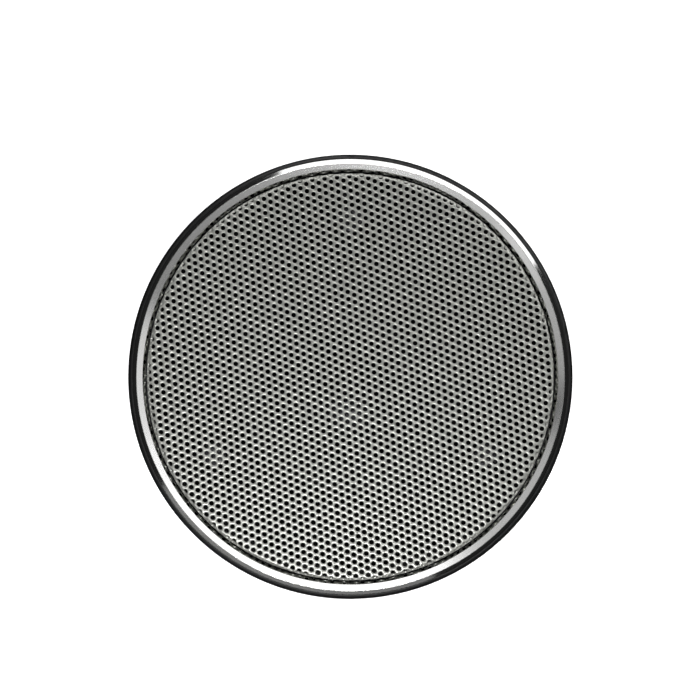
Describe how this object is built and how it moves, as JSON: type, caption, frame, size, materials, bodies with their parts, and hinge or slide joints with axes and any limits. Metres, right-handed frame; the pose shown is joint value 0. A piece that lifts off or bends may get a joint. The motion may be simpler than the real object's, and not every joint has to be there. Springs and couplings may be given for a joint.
{
  "type": "car tweeter",
  "caption": "Round flush-mount car tweeter with a perforated metal grille, a silver trim ring in a black flange, and a threaded cup with a ring nut behind.",
  "frame": {"origin": "centre of the flange's back, on the panel face", "axes": "+Z leaves the front of the tweeter, the way the sound goes; +Y is up when it is installed; +X is to the right seen from the front"},
  "size_m": [0.062, 0.062, 0.0272],
  "materials": {
    "cup_plastic": "satin moulded black",
    "gloss_plastic": "gloss moulded black",
    "frame_plastic": "matt moulded black",
    "nut_plastic": "matt moulded black, ribbed",
    "grille_steel": "satin warm grey coating on perforated steel",
    "ring_metal": "satin face, polished bevel",
    "screw_steel": "black zinc",
    "washer_steel": "zinc plated",
    "motor_steel": "zinc plated",
    "magnet_plating": "nickel plated",
    "dome_metal": "black anodised",
    "surround_cloth": "coated cloth",
    "former_film": "amber film",
    "copper": "enamelled copper",
    "tinned_brass": "tin plated",
    "felt": "grey felt",
    "foam": "closed-cell foam",
    "board": "green solder mask",
    "capacitor_sleeve": "dark blue sleeve",
    "wire_red": "insulation",
    "wire_black": "insulation"
  },
  "bodies": {
    "tweeter": {"mounting_cup": "cup_plastic", "panel_gasket": "foam", "trim_ring": "ring_metal", "grille_mesh": "grille_steel", "grille_carrier": "gloss_plastic", "faceplate": "gloss_plastic", "faceplate_screws": "screw_steel", "driver_frame": "frame_plastic", "driver_gasket": "foam", "surround_ring": "frame_plastic", "surround": "surround_cloth", "flexible_leads": "copper", "solder_tabs": "tinned_brass", "pole_plate": "motor_steel", "magnet": "magnet_plating", "yoke_cup": "motor_steel", "damping_pad": "felt", "rear_cover": "cup_plastic", "rear_cover_screws": "screw_steel", "terminal_positive": "tinned_brass", "terminal_negative": "tinned_brass", "crossover_board": "board", "crossover_capacitor": "capacitor_sleeve", "capacitor_leads": "tinned_brass", "hookup_wire_positive": "wire_red", "hookup_wire_negative": "wire_black"},
    "diaphragm": {"dome": "dome_metal", "voice_coil_former": "former_film", "voice_coil": "copper"},
    "washer": {"slip_washer": "washer_steel"},
    "nut": {"ring_nut": "nut_plastic"}
  },
  "joints": [
    {"name": "diaphragm_travel", "type": "slide", "parent": "tweeter", "child": "diaphragm", "axis": [0, 0, 1], "range_m": [-0.0004, 0.0004], "stiffness_N_per_m": 2000, "deforming": ["surround", "flexible_leads"]},
    {"name": "washer_slide", "type": "slide", "parent": "tweeter", "child": "washer", "axis": [0, 0, -1], "range_m": [-0.002, 0.022]},
    {"name": "nut_turn", "type": "hinge", "parent": "washer", "child": "nut", "pos_m": [0, 0, -0.0067], "axis": [0, 0, -1], "range_deg": [-287, 3167]}
  ],
  "couplings": [
    {"joint": "washer_slide", "follows": "nut_turn", "m_per_rad": 0.00039789}
  ]
}
